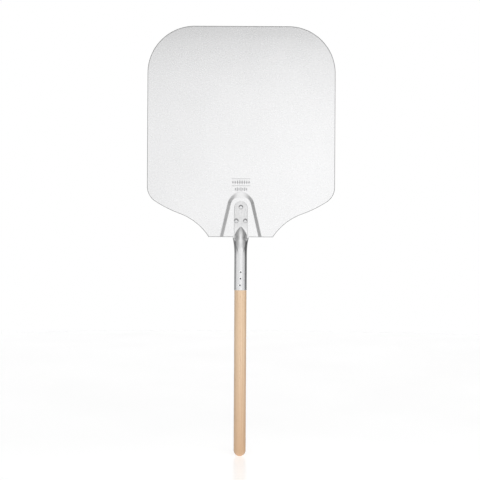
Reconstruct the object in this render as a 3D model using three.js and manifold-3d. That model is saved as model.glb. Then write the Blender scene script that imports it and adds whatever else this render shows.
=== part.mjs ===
/**
 * Long-handled pizza peel, held upright with its blade at the top.
 *
 * A sheet-metal blade is riveted to the flattened tongue of a round tube. The other end of the tube is
 * a socket for a wooden handle, which three small drive pins hold in place.
 *
 * Frame: +Z runs along the handle from its butt to the front edge of the blade, the food side of the
 * blade faces -Y, and the origin is on the handle's axis at the tip of the butt. Sizes are millimetres.
 */
import * as THREE from 'three';
import { mergeVertices } from 'three/addons/utils/BufferGeometryUtils.js';
import Module from 'manifold-3d';

const wasm = await Module();
wasm.setup();

// ---- Layout along the handle ----
const HANDLE_SHOWING = 356; // butt tip to the mouth of the socket
const SOCKET_SHOWING = 114; // mouth of the socket to the neck edge of the blade
const NECK_Z = HANDLE_SHOWING + SOCKET_SHOWING;

// ---- Tube and tongue ----
const TUBE_RADIUS = 13.4;
const WALL = 1.2;
const TONGUE_THICKNESS = 2 * WALL; // the two walls of the tube pressed onto each other
const TONGUE_WIDTH = 28.7;
const TONGUE_LENGTH = 77; // above the neck edge, round end included
const EAR_HALF_WIDTH = 17.8; // the pressed tube is widest where it meets the neck edge
const EAR_TOP = 1.5; // the trimmed sides of the tongue start this far above the neck edge
const PRESS_START = -44; // heights here and below are measured from the neck edge
const SIDES_FLAT = -2; // the sides of the tube are pressed flat here,
const RIDGE_TIP = 23; // and its crown dies out here
const RIDGE_FORMS = -9; // from here up the crown narrows to a ridge
const RIDGE_FOOT = -1; // where the ridge is RIDGE_HALF_WIDTH to each side
const RIDGE_HALF_WIDTH = 11.8;
const FLARE_POWER = 2.45; // how late the sides of the tube flare out to the ears
const CROWN_POWER = 1.1; // how soon the crown falls

// ---- Blade ----
const BLADE_WIDTH = 406;
const BLADE_LENGTH = 456;
const BLADE_THICKNESS = 1.5;
const FRONT_CORNER_RADIUS = 101.6;
const NECK_HALF_WIDTH = 69.5;
const NECK_HEADING = 57; // the outline leaves the neck corner at this angle, in degrees from +X,
const NECK_SWEEP_RADIUS = 126; // and sweeps outwards on this radius
const SHOULDER_HEADING = 20; // until it has turned down to this angle,
const SHOULDER_RADIUS = 265; // then rounds the shoulder on this radius
const SIDE_CORNER_HEADING = 33; // up to the corner below the straight side
const EDGE_BEVEL_WIDTH = 1.2;
const EDGE_BEVEL_DEPTH = 0.35;

// ---- Raised pad under the tongue ----
const PAD_HEIGHT = 4.8;
const PAD_SLOPE_WIDTH = 8.4;
const PAD_ARCH_RADIUS = 25.9; // at the middle of the slope
const PAD_ARCH_CENTRE = 66; // above the neck edge
const PAD_LEG_LEAN = 12.9; // degrees

// ---- Rivets ----
const RIVET_HEAD_RADIUS = 4.75;
const RIVET_HEAD_HEIGHT = 2.35;
const RIVET_CROWN_RADIUS = 2.2; // where the cone of the head rounds over to its crown
const RIVET_SHANK_RADIUS = 2.4;
const RIVET_TAIL_RADIUS = 3.7;
const RIVET_TAIL_HEIGHT = 1.4;
const RIVETS = { rivet_top: [0, 64.7], rivet_left: [-9.7, 35], rivet_right: [9.7, 35] };

// ---- Handle and its drive pins ----
const HANDLE_RADIUS = 13;
const TENON_RADIUS = 12.05;
const TENON_LENGTH = 66;
const TENON_CHAMFER = 1.5;
const PIN_HEAD_RADIUS = 1.5;
const PIN_HEAD_HEIGHT = 0.5;
const PIN_SHANK_RADIUS = 0.8;
const PIN_LENGTH = 13;
const DIMPLE_RADIUS = 3.4;
const DIMPLE_DEPTH = 0.9;
const PIN_DROP = 0.4; // how far the pin's head lies below the outside of the tube
const PINS = { ferrule_pin_top: [0.3, 39], ferrule_pin_middle: [-0.3, 25], ferrule_pin_bottom: [-1.2, 11] };

// ---- Clearances and facets ----
const CLEARANCE = 0.2; // round a shank in its hole
const SEAT = 0.1; // between faces that bear on each other
const ROUND_SIDES = 48;
const SMALL_SIDES = 24;
const ARC_POINTS = 14; // for each arc of an outline

// ---- Depths, from the tube's axis at 0 back to the underside of the blade ----
const TONGUE_BACK = TUBE_RADIUS;
const TONGUE_FRONT = TONGUE_BACK - TONGUE_THICKNESS;
const PAD_FRONT = TONGUE_BACK + SEAT;
const PAD_BACK = PAD_FRONT + BLADE_THICKNESS;
const BLADE_FRONT = PAD_FRONT + PAD_HEIGHT;
const BLADE_BACK = BLADE_FRONT + BLADE_THICKNESS;

const radians = THREE.MathUtils.degToRad;
const { clamp, lerp } = THREE.MathUtils;
const smooth = (value, low, high) => THREE.MathUtils.smoothstep(value, low, high);

/** A closed geometry as a solid that can be joined and cut. */
function solid(geometry) {
  const bare = geometry.clone();
  bare.deleteAttribute('normal');
  bare.deleteAttribute('uv');
  const merged = mergeVertices(bare, 1e-4);
  return new wasm.Manifold(new wasm.Mesh({
    numProp: 3,
    vertProperties: new Float32Array(merged.attributes.position.array),
    triVerts: new Uint32Array(merged.index.array),
  }));
}

/** A solid as a flat-shaded geometry. */
function geometryOf(body) {
  const mesh = body.getMesh();
  const geometry = new THREE.BufferGeometry();
  geometry.setAttribute('position', new THREE.BufferAttribute(mesh.vertProperties, 3));
  geometry.setIndex(new THREE.BufferAttribute(mesh.triVerts, 1));
  geometry.computeVertexNormals();
  return geometry;
}

/** Stands a shape drawn in X and Z up, so that it fills the depths from front to back. */
function slab(shape, front, back, bottom, options = {}) {
  const settings = { depth: back - front, bevelEnabled: false, curveSegments: ARC_POINTS, ...options };
  return new THREE.ExtrudeGeometry(shape, settings).rotateX(Math.PI / 2).translate(0, back, bottom);
}

/** A round piece turned from a profile of [radius, height] points, with its axis along Z. */
function turned(profile, sides) {
  const points = profile.map(([radius, height]) => new THREE.Vector2(radius, height));
  return new THREE.LatheGeometry(points, sides).rotateX(Math.PI / 2);
}

/** Draws on from the end of a path, turning between two headings in degrees on one radius. */
function sweep(path, from, to, radius) {
  const side = Math.sign(to - from);
  const start = radians(from);
  const x = path.currentPoint.x - side * radius * Math.sin(start);
  const y = path.currentPoint.y + side * radius * Math.cos(start);
  const quarter = side * 90;
  path.absarc(x, y, radius, radians(from - quarter), radians(to - quarter), side < 0);
}

/** The blade's outline, drawn counter-clockwise from the right corner of the neck. */
function bladeOutline() {
  const halfWidth = BLADE_WIDTH / 2;
  const outline = new THREE.Shape();
  outline.moveTo(NECK_HALF_WIDTH, 0);
  sweep(outline, NECK_HEADING, SHOULDER_HEADING, NECK_SWEEP_RADIUS);
  sweep(outline, SHOULDER_HEADING, SIDE_CORNER_HEADING, SHOULDER_RADIUS);
  const room = halfWidth - outline.currentPoint.x;
  const cornerRadius = room / (1 - Math.sin(radians(SIDE_CORNER_HEADING)));
  sweep(outline, SIDE_CORNER_HEADING, 90, cornerRadius);
  const sideBottom = outline.currentPoint.y;
  outline.lineTo(halfWidth, BLADE_LENGTH - FRONT_CORNER_RADIUS);
  sweep(outline, 90, 180, FRONT_CORNER_RADIUS);
  outline.lineTo(FRONT_CORNER_RADIUS - halfWidth, BLADE_LENGTH);
  sweep(outline, 180, 270, FRONT_CORNER_RADIUS);
  outline.lineTo(-halfWidth, sideBottom);
  sweep(outline, 270, 360 - SIDE_CORNER_HEADING, cornerRadius);
  sweep(outline, 360 - SIDE_CORNER_HEADING, 360 - SHOULDER_HEADING, SHOULDER_RADIUS);
  sweep(outline, 360 - SHOULDER_HEADING, 360 - NECK_HEADING, NECK_SWEEP_RADIUS);
  outline.lineTo(NECK_HALF_WIDTH, 0);
  return outline;
}

/** The pad's outline: an arch on two legs that lean outwards and run past the neck edge. */
function padOutline(inset) {
  const radius = PAD_ARCH_RADIUS - inset;
  const lean = radians(PAD_LEG_LEAN);
  const overrun = 12;
  const footHalfWidth = radius / Math.cos(lean) + (PAD_ARCH_CENTRE + overrun) * Math.tan(lean);
  const outline = new THREE.Shape();
  outline.moveTo(-footHalfWidth, -overrun);
  outline.lineTo(footHalfWidth, -overrun);
  outline.absarc(0, PAD_ARCH_CENTRE, radius, lean, Math.PI - lean, false);
  outline.closePath();
  return outline;
}

/** The pad as a block with sloping sides, whose top is at one depth and whose foot is at another. */
function padBlock(top, foot, inset) {
  const footLand = 1; // the widest part of the block goes on past its foot for this much
  const block = slab(padOutline(inset), foot, foot + footLand, NECK_Z, {
    bevelEnabled: true,
    bevelSegments: 1,
    bevelThickness: foot - top,
    bevelSize: PAD_SLOPE_WIDTH,
    bevelOffset: -PAD_SLOPE_WIDTH / 2,
  });
  const keep = new THREE.BoxGeometry(BLADE_WIDTH, foot + footLand / 2 - top, BLADE_LENGTH);
  keep.translate(0, (foot + footLand / 2 + top) / 2, NECK_Z + BLADE_LENGTH / 2);
  return solid(block).intersect(solid(keep));
}

/** A round cutter along Y, from one radius at its front to another at its back. */
function cutter(x, height, front, back, frontRadius, backRadius = frontRadius) {
  const shape = new THREE.CylinderGeometry(backRadius, frontRadius, back - front, SMALL_SIDES);
  return solid(shape.translate(x, (front + back) / 2, height));
}

/** The blade: a bevelled plate with the raised pad pressed into it, and its rivet holes. */
function blade() {
  const plate = slab(bladeOutline(), BLADE_FRONT + EDGE_BEVEL_DEPTH, BLADE_BACK - EDGE_BEVEL_DEPTH, NECK_Z, {
    bevelEnabled: true,
    bevelSegments: 1,
    bevelThickness: EDGE_BEVEL_DEPTH,
    bevelSize: EDGE_BEVEL_WIDTH,
    bevelOffset: -EDGE_BEVEL_WIDTH,
  });
  const slopeAngle = Math.atan2(PAD_HEIGHT, PAD_SLOPE_WIDTH);
  const hollowInset = BLADE_THICKNESS * Math.tan(slopeAngle / 2);
  let body = solid(plate).add(padBlock(PAD_FRONT, BLADE_FRONT, 0));
  body = body.subtract(padBlock(PAD_BACK, BLADE_BACK, hollowInset));
  for (const [x, height] of Object.values(RIVETS)) {
    const radius = RIVET_SHANK_RADIUS + CLEARANCE;
    body = body.subtract(cutter(x, NECK_Z + height, PAD_FRONT - 1, PAD_BACK + 1, radius));
  }
  return geometryOf(body);
}

/** Sizes of the pressed tube's outside at a height above the neck edge. */
function pressedSize(height) {
  const start = PRESS_START;
  const flare = clamp((height - start) / -start, 0, 1) ** FLARE_POWER;
  const pressed = clamp((height - start) / (RIDGE_TIP - start), 0, 1);
  const crown = lerp(TONGUE_THICKNESS, 2 * TUBE_RADIUS, (1 - pressed * pressed) ** CROWN_POWER);
  const run = clamp((height - RIDGE_FOOT) / (RIDGE_TIP - RIDGE_FOOT), 0, 1);
  return {
    halfWidth: TUBE_RADIUS + (EAR_HALF_WIDTH - TUBE_RADIUS) * flare,
    sideRadius: lerp(TUBE_RADIUS, WALL, smooth(height, start, SIDES_FLAT)),
    crown,
    ridgeHalfWidth: Math.max(RIDGE_HALF_WIDTH * (1 - run * run), 0.5),
    ridgeShare: smooth(height, RIDGE_FORMS, RIDGE_FOOT),
    floor: 0,
  };
}

/** Sizes of the hollow inside the tube, one wall in from the outside. */
function hollowSize(height) {
  const outside = pressedSize(height);
  return {
    ...outside,
    halfWidth: outside.halfWidth - WALL,
    sideRadius: outside.sideRadius - WALL,
    crown: outside.crown - 2 * WALL,
    ridgeHalfWidth: outside.ridgeHalfWidth - WALL,
    floor: WALL,
  };
}

/** Sizes of the hollow that goes on under the ridge, where the sides are already pressed shut. */
function ridgeHollowSize(height) {
  const outside = pressedSize(height);
  const halfWidth = outside.ridgeHalfWidth - 2 * WALL;
  return {
    halfWidth,
    sideRadius: WALL / 4,
    crown: outside.crown - 2 * WALL,
    ridgeHalfWidth: halfWidth,
    ridgeShare: 0,
    floor: WALL,
  };
}

/**
 * A point of the pressed section: a slot shape with round sides, walked at an even pace, with the
 * crown of the tube standing on its front. `turn` runs from the +X side (0) over the front to pi.
 */
function pressedPoint(turn, size) {
  const { halfWidth, sideRadius, crown, ridgeHalfWidth, ridgeShare, floor } = size;
  const flat = halfWidth - sideRadius;
  const quarter = (Math.PI / 2) * sideRadius;
  const walk = (Math.abs(turn) / Math.PI) * 2 * (quarter + flat);
  const onFlat = clamp(walk - quarter, 0, 2 * flat);
  const bend = clamp((walk - onFlat) / sideRadius, 0, Math.PI);
  const x = flat - onFlat + sideRadius * Math.cos(bend);
  const rise = sideRadius * Math.sin(bend);
  if (turn < 0) return [x, floor + sideRadius - rise];
  const round = Math.sqrt(Math.max(1 - (x / halfWidth) ** 2, 0));
  const ridge = Math.sqrt(Math.max(1 - (x / ridgeHalfWidth) ** 2, 0));
  const swell = (crown - 2 * sideRadius) * lerp(round, ridge, ridgeShare);
  return [x, floor + sideRadius + rise + swell];
}

/** A closed length of pressed tube through a list of heights above the neck edge. */
function pressedTube(heights, sizeAt) {
  const bands = heights.length - 1;
  const geometry = new THREE.CylinderGeometry(1, 1, bands, ROUND_SIDES, bands);
  const position = geometry.attributes.position;
  for (let i = 0; i < position.count; i += 1) {
    const height = heights[Math.round(position.getY(i) + bands / 2)];
    const size = sizeAt(height);
    const onAxis = Math.hypot(position.getX(i), position.getZ(i)) < 0.5;
    const turn = Math.atan2(position.getZ(i), position.getX(i));
    const [x, out] = onAxis ? [0, size.floor + size.sideRadius] : pressedPoint(turn, size);
    position.setXYZ(i, x, TONGUE_BACK - out, NECK_Z + height);
  }
  return solid(geometry);
}

/** Evenly spaced heights from one to another, both included. */
function steps(from, to, count) {
  return Array.from({ length: count + 1 }, (_, i) => lerp(from, to, i / count));
}

/** What is left of the pressed tube after its tongue is trimmed to width and rounded. */
function trimOutline() {
  const clear = BLADE_WIDTH / 4;
  const side = TONGUE_WIDTH / 2;
  const outline = new THREE.Shape();
  outline.moveTo(-clear, -SOCKET_SHOWING - 1);
  outline.lineTo(clear, -SOCKET_SHOWING - 1);
  outline.lineTo(clear, EAR_TOP);
  outline.lineTo(side, EAR_TOP);
  outline.absarc(0, TONGUE_LENGTH - side, side, 0, Math.PI, false);
  outline.lineTo(-side, EAR_TOP);
  outline.lineTo(-clear, EAR_TOP);
  outline.closePath();
  return outline;
}

/** The socket: a tube for the handle, pressed flat at the other end into a tongue for the rivets. */
function socket() {
  const pressed = steps(PRESS_START, RIDGE_TIP, 20);
  let body = pressedTube([-SOCKET_SHOWING, ...pressed, TONGUE_LENGTH + 1], pressedSize);
  const sidesMeet = -8;
  body = body.subtract(pressedTube([-SOCKET_SHOWING - 1, ...steps(PRESS_START, sidesMeet, 10)], hollowSize));
  body = body.subtract(pressedTube(steps(sidesMeet - 4, RIDGE_TIP - 7, 8), ridgeHollowSize));
  body = body.intersect(solid(slab(trimOutline(), -2 * TUBE_RADIUS, 2 * TUBE_RADIUS, NECK_Z)));
  for (const [x, height] of Object.values(RIVETS)) {
    const radius = RIVET_SHANK_RADIUS + CLEARANCE;
    body = body.subtract(cutter(x, NECK_Z + height, TONGUE_FRONT - 1, TONGUE_BACK + 1, radius));
  }
  for (const [x, height] of Object.values(PINS)) {
    const z = HANDLE_SHOWING + height;
    const surface = -TUBE_RADIUS;
    const floor = surface + DIMPLE_DEPTH;
    body = body.subtract(cutter(x, z, surface, floor, DIMPLE_RADIUS, PIN_HEAD_RADIUS + CLEARANCE));
    body = body.subtract(cutter(x, z, floor - SEAT, 0, PIN_SHANK_RADIUS + CLEARANCE));
  }
  return geometryOf(body);
}

/** The wooden handle: a round-ended pole with a tenon turned on it, drilled by the pins. */
function handle() {
  const shoulder = HANDLE_SHOWING - SEAT;
  const end = HANDLE_SHOWING + TENON_LENGTH;
  const butt = steps(0, 90, ARC_POINTS).map((angle) => [
    HANDLE_RADIUS * Math.sin(radians(angle)),
    HANDLE_RADIUS * (1 - Math.cos(radians(angle))),
  ]);
  const pole = [
    ...butt,
    [HANDLE_RADIUS, shoulder],
    [TENON_RADIUS, shoulder],
    [TENON_RADIUS, end - TENON_CHAMFER],
    [TENON_RADIUS - TENON_CHAMFER, end],
    [0, end],
  ];
  let body = solid(turned(pole, ROUND_SIDES));
  for (const [x, height] of Object.values(PINS)) {
    const reach = PIN_DROP + PIN_LENGTH + CLEARANCE - TUBE_RADIUS;
    body = body.subtract(cutter(x, HANDLE_SHOWING + height, -TUBE_RADIUS, reach, PIN_SHANK_RADIUS + CLEARANCE));
  }
  return geometryOf(body);
}

/** A rivet, set: a head coned to a low crown, a shank and a flattened tail. Its head's seat is at height 0. */
function rivet() {
  const grip = PAD_BACK - TONGUE_FRONT + 2 * SEAT;
  const halfWay = (RIVET_HEAD_RADIUS + RIVET_CROWN_RADIUS) / 2;
  return turned([
    [0, -grip - RIVET_TAIL_HEIGHT],
    [RIVET_TAIL_RADIUS * 0.8, -grip - RIVET_TAIL_HEIGHT],
    [RIVET_TAIL_RADIUS, -grip - RIVET_TAIL_HEIGHT * 0.6],
    [RIVET_TAIL_RADIUS, -grip],
    [RIVET_SHANK_RADIUS, -grip],
    [RIVET_SHANK_RADIUS, 0],
    [RIVET_HEAD_RADIUS, 0],
    [halfWay, RIVET_HEAD_HEIGHT * 0.52],
    [RIVET_CROWN_RADIUS, RIVET_HEAD_HEIGHT * 0.9],
    [RIVET_CROWN_RADIUS / 2, RIVET_HEAD_HEIGHT * 0.98],
    [0, RIVET_HEAD_HEIGHT],
  ], SMALL_SIDES);
}

/** A drive pin: a small flat head on a pointed shank. The top of its head is at height 0. */
function pin() {
  const point = 3;
  return turned([
    [0, -PIN_LENGTH],
    [PIN_SHANK_RADIUS, point - PIN_LENGTH],
    [PIN_SHANK_RADIUS, -PIN_HEAD_HEIGHT],
    [PIN_HEAD_RADIUS, -PIN_HEAD_HEIGHT],
    [PIN_HEAD_RADIUS, -PIN_HEAD_HEIGHT / 2],
    [PIN_HEAD_RADIUS * 0.7, 0],
    [0, 0],
  ], SMALL_SIDES / 2);
}

const sheetAluminium = new THREE.MeshStandardMaterial({ color: 0xd9dadb, metalness: 0.9, roughness: 0.4 });
const tubeAluminium = new THREE.MeshStandardMaterial({ color: 0xc4c5c7, metalness: 1, roughness: 0.25 });
const rivetAluminium = new THREE.MeshStandardMaterial({ color: 0xb9babc, metalness: 1, roughness: 0.3 });
const beech = new THREE.MeshStandardMaterial({ color: 0xe0bd94, metalness: 0, roughness: 0.6 });
const steel = new THREE.MeshStandardMaterial({ color: 0x77787a, metalness: 1, roughness: 0.35 });

/** Adds one named piece to a group. */
function addPiece(group, name, geometry, material) {
  const mesh = new THREE.Mesh(geometry, material);
  mesh.name = name;
  group.add(mesh);
  return mesh;
}

/** Adds copies of a turned piece that face the food side, at heights above a base. */
function addFasteners(group, places, geometry, material, depth, base) {
  for (const [name, [x, height]] of Object.entries(places)) {
    const piece = addPiece(group, name, geometry, material);
    piece.position.set(x, depth, base + height);
    piece.rotation.x = Math.PI / 2;
  }
}

const peel = new THREE.Group();
addPiece(peel, 'blade', blade(), sheetAluminium);
addPiece(peel, 'socket', socket(), tubeAluminium);
addPiece(peel, 'handle', handle(), beech);
addFasteners(peel, RIVETS, rivet(), rivetAluminium, TONGUE_FRONT - SEAT, NECK_Z);
addFasteners(peel, PINS, pin(), steel, PIN_DROP - TUBE_RADIUS, HANDLE_SHOWING);

export default peel;
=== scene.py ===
"""Looks of a long-handled pizza peel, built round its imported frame.

A sheet-metal blade with a pressed pad is riveted to the flattened tongue of a tube, and the other end
of the tube is pinned to a beech handle. Every piece is worked out in numpy, in millimetres, in the
frame's own axes: +Z runs from the handle's butt to the front edge of the blade, and the food side of
the blade faces -Y. A piece becomes metres when its mesh is made. Heights called `up` are measured
from the blade's neck edge.
"""

from __future__ import annotations

import logging
import math
from dataclasses import dataclass, field
from enum import Enum

import bmesh
import bpy
import numpy as np
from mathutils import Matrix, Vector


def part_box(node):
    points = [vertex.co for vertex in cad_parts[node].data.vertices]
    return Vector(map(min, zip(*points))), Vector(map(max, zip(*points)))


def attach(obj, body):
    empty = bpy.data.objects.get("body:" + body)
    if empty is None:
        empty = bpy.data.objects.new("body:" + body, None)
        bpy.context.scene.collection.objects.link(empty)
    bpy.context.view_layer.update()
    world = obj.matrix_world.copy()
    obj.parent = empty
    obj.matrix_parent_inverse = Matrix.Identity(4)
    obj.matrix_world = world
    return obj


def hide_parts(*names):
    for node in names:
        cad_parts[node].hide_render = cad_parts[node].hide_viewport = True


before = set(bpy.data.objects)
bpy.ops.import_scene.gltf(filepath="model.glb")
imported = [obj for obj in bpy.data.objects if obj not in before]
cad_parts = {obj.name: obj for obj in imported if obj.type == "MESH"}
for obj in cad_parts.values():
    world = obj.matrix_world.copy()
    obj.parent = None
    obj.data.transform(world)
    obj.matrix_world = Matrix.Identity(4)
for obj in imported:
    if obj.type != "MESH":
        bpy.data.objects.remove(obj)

Array = np.ndarray
Stops = tuple[tuple[float, float], ...]
Ramp = tuple[float, float, float, float]
MM = 0.001
BODY = "root"
RIVET_NODES = ("rivet_top", "rivet_left", "rivet_right")
PIN_NODES = ("ferrule_pin_top", "ferrule_pin_middle", "ferrule_pin_bottom")
EDGE_CROWDING = 2.2
MIX_COLOUR_INPUTS = (6, 7)
MIX_COLOUR_OUTPUT = 2
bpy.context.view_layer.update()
log = logging.getLogger("peel")


class Side(Enum):
    """Which face of the sheet a surface is."""

    FOOD = -1
    OVEN = 1


class Grain(Enum):
    """The axis that a finish's grain runs along."""

    ACROSS = (0.02, 1.0, 1.0)
    ALONG = (1.0, 1.0, 0.02)


# ---------------------------------------------------------------- shapes worked out as arrays


def smooth_step(value: Array, low: float, high: float) -> Array:
    """Rises from 0 at low to 1 at high as 3t^2 - 2t^3."""
    t = np.clip((value - low) / (high - low), 0.0, 1.0)
    return t * t * (3.0 - 2.0 * t)


def filleted_ramp(t: Array, fillet: float) -> Array:
    """A straight ramp from 0 to 1 with a parabola of width `fillet` at each end.

    Args:
        t: How far along the ramp each point is; below 0 and above 1 are level.
        fillet: Share of the ramp that each rounded end takes.

    Returns:
        The height of the ramp at each point.
    """
    t = np.clip(t, 0.0, 1.0)
    curve = 2.0 * fillet * (1.0 - fillet)
    middle = (t - fillet / 2.0) / (1.0 - fillet)
    upper = np.where(t > 1.0 - fillet, 1.0 - (1.0 - t) ** 2 / curve, middle)
    return np.where(t < fillet, t * t / curve, upper)


def tangent_arc(start: Array, heading: float, turn_to: float, radius: float, count: int) -> Array:
    """Points of an arc that leaves a point at one heading and turns to another.

    With s the side it turns to, the arc is start + s R (sin h - sin h0, cos h0 - cos h).

    Args:
        start: Where the arc starts, as (x, up).
        heading: The direction it leaves in, in degrees from +X.
        turn_to: The direction it ends in, in degrees.
        radius: The arc's radius.
        count: How many points follow the start.

    Returns:
        The points after the start, one per row.
    """
    angles = np.radians(np.linspace(heading, turn_to, count + 1))
    side = np.sign(turn_to - heading)
    x = start[0] + side * radius * (np.sin(angles) - np.sin(angles[0]))
    up = start[1] + side * radius * (np.cos(angles[0]) - np.cos(angles))
    return np.stack([x, up], axis=1)[1:]


def distance_to_path(x: Array, up: Array, path: Array) -> Array:
    """The distance from each point to the nearest point of a path of straight steps."""
    point = np.stack([x.ravel(), up.ravel()], axis=1)[:, None, :]
    start, step = path[:-1][None], np.diff(path, axis=0)[None]
    share = np.clip(((point - start) * step).sum(2) / (step**2).sum(2), 0.0, 1.0)
    gap = point - (start + share[..., None] * step)
    return np.sqrt((gap**2).sum(2).min(1)).reshape(x.shape)


def away_from_edge(reach: float, count: int) -> Array:
    """Distances from an edge that start at 0, crowd together there and run out to `reach`."""
    return reach * np.linspace(0.0, 1.0, count) ** EDGE_CROWDING


def node_box(node: str) -> tuple[Array, Array]:
    """The lowest and highest corners of a CAD node, in millimetres."""
    low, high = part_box(node)
    return np.array(low) / MM, np.array(high) / MM


@dataclass
class Skin:
    """A closed surface put together from grids of points, in millimetres."""

    name: str
    points: list[Array] = field(default_factory=list)
    faces: list[Array] = field(default_factory=list)
    count: int = 0

    def add(self, points: Array, faces: Array) -> None:
        """Adds loose points with the faces between them, as rows of indices into those points.

        A point is (x, y, z) or (x, y, z, rim). The rim runs from 0 up to 1 at a line of painted shade:
        a cut edge of the sheet, or the seat of a rivet's head.
        """
        points = points.reshape(-1, points.shape[-1])
        rim = np.zeros((len(points), 4 - points.shape[1]))
        self.points.append(np.hstack([points, rim]))
        self.faces.append(faces + self.count)
        self.count += self.points[-1].shape[0]

    def add_grid(self, grid: Array, ring: bool = False, flip: bool = False) -> None:
        """Adds a grid of points as quads.

        Args:
            grid: Points of shape (rows, columns, 3), or 4 with the rim.
            ring: Whether the last column joins the first.
            flip: Whether the quads are turned over.
        """
        rows, columns = grid.shape[:2]
        index = np.arange(rows * columns).reshape(rows, columns)
        right = np.roll(index, -1, axis=1) if ring else index[:, 1:]
        left = index if ring else index[:, :-1]
        quads = np.stack([left[:-1], right[:-1], right[1:], left[1:]], axis=-1).reshape(-1, 4)
        self.add(grid, quads[:, ::-1] if flip else quads)

    def add_fan(self, ring: Array, centre: Array, flip: bool = False) -> None:
        """Closes a ring of points with triangles to a centre."""
        sides = len(ring)
        index = np.arange(sides)
        fan = np.stack([index, np.roll(index, -1), np.full(sides, sides)], axis=1)
        self.add(np.vstack([ring, centre]), fan[:, ::-1] if flip else fan)

    def add_loft(self, sections: Array, flip: bool = False) -> None:
        """Adds rings of points as one tube with both of its ends closed."""
        self.add_grid(sections, ring=True, flip=flip)
        self.add_fan(sections[0], sections[0].mean(0), flip=not flip)
        self.add_fan(sections[-1], sections[-1].mean(0), flip=flip)

    def build(self, smooth: bool = True, weld: float = 0.002) -> bpy.types.Object:
        """Makes the mesh object, with doubled points welded and every face turned outwards.

        Args:
            smooth: Whether the faces are shaded smooth.
            weld: Points closer than this become one.

        Returns:
            The new object, at the origin, linked to the scene.
        """
        mesh = bpy.data.meshes.new(self.name)
        loops = np.concatenate([f.ravel() for f in self.faces])
        sizes = np.concatenate([np.full(len(f), f.shape[1]) for f in self.faces])
        points = np.concatenate(self.points)
        mesh.vertices.add(self.count)
        mesh.vertices.foreach_set("co", (points[:, :3] * MM).astype(np.float32).ravel())
        mesh.loops.add(len(loops))
        mesh.loops.foreach_set("vertex_index", loops.astype(np.int32))
        mesh.polygons.add(len(sizes))
        mesh.polygons.foreach_set("loop_start", (np.cumsum(sizes) - sizes).astype(np.int32))
        mesh.update(calc_edges=True)
        rim = mesh.attributes.new("rim", "FLOAT", "POINT")
        rim.data.foreach_set("value", points[:, 3].astype(np.float32))
        mesh.validate()
        self._weld(mesh, weld * MM)
        mesh.polygons.foreach_set("use_smooth", np.full(len(mesh.polygons), smooth))
        thing = bpy.data.objects.new(self.name, mesh)
        bpy.context.scene.collection.objects.link(thing)
        return thing

    @staticmethod
    def _weld(mesh: bpy.types.Mesh, distance: float) -> None:
        """Welds doubled points, drops faces with no area and turns the faces outwards."""
        work = bmesh.new()
        work.from_mesh(mesh)
        bmesh.ops.remove_doubles(work, verts=work.verts, dist=distance)
        bmesh.ops.dissolve_degenerate(work, edges=work.edges, dist=distance / 10)
        bmesh.ops.recalc_face_normals(work, faces=work.faces)
        work.to_mesh(mesh)
        work.free()


def turned(profile: Array, sides: int) -> Array:
    """A profile of (radius, along) points carried round the Z axis.

    Args:
        profile: The profile, from one end of the axis to the other.
        sides: How many points go round.

    Returns:
        Points of shape (profile points, sides, 3).
    """
    angle = np.linspace(0.0, 2.0 * math.pi, sides, endpoint=False)
    radius, along = profile[:, :1], profile[:, 1:]
    flat = np.ones_like(angle)[None]
    return np.stack([radius * np.cos(angle), radius * np.sin(angle), along * flat], axis=-1)


def laid_along_y(points: Array, centre: Array, seat: float) -> Array:
    """Points turned round Z laid on a centre with their axis along -Y, and 0 on it at Y = seat."""
    x, across, along = points[..., 0], points[..., 1], points[..., 2]
    return np.stack([centre[0] + x, seat - along, centre[2] + across], axis=-1)


def corner(centre: tuple[float, float], radius: float, start: float, end: float, count: int) -> Array:
    """Points of a rounded corner of a profile, between two angles in degrees."""
    angle = np.radians(np.linspace(start, end, count))
    return np.stack([centre[0] + radius * np.cos(angle), centre[1] + radius * np.sin(angle)], axis=1)


# ---------------------------------------------------------------- finishes


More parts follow.
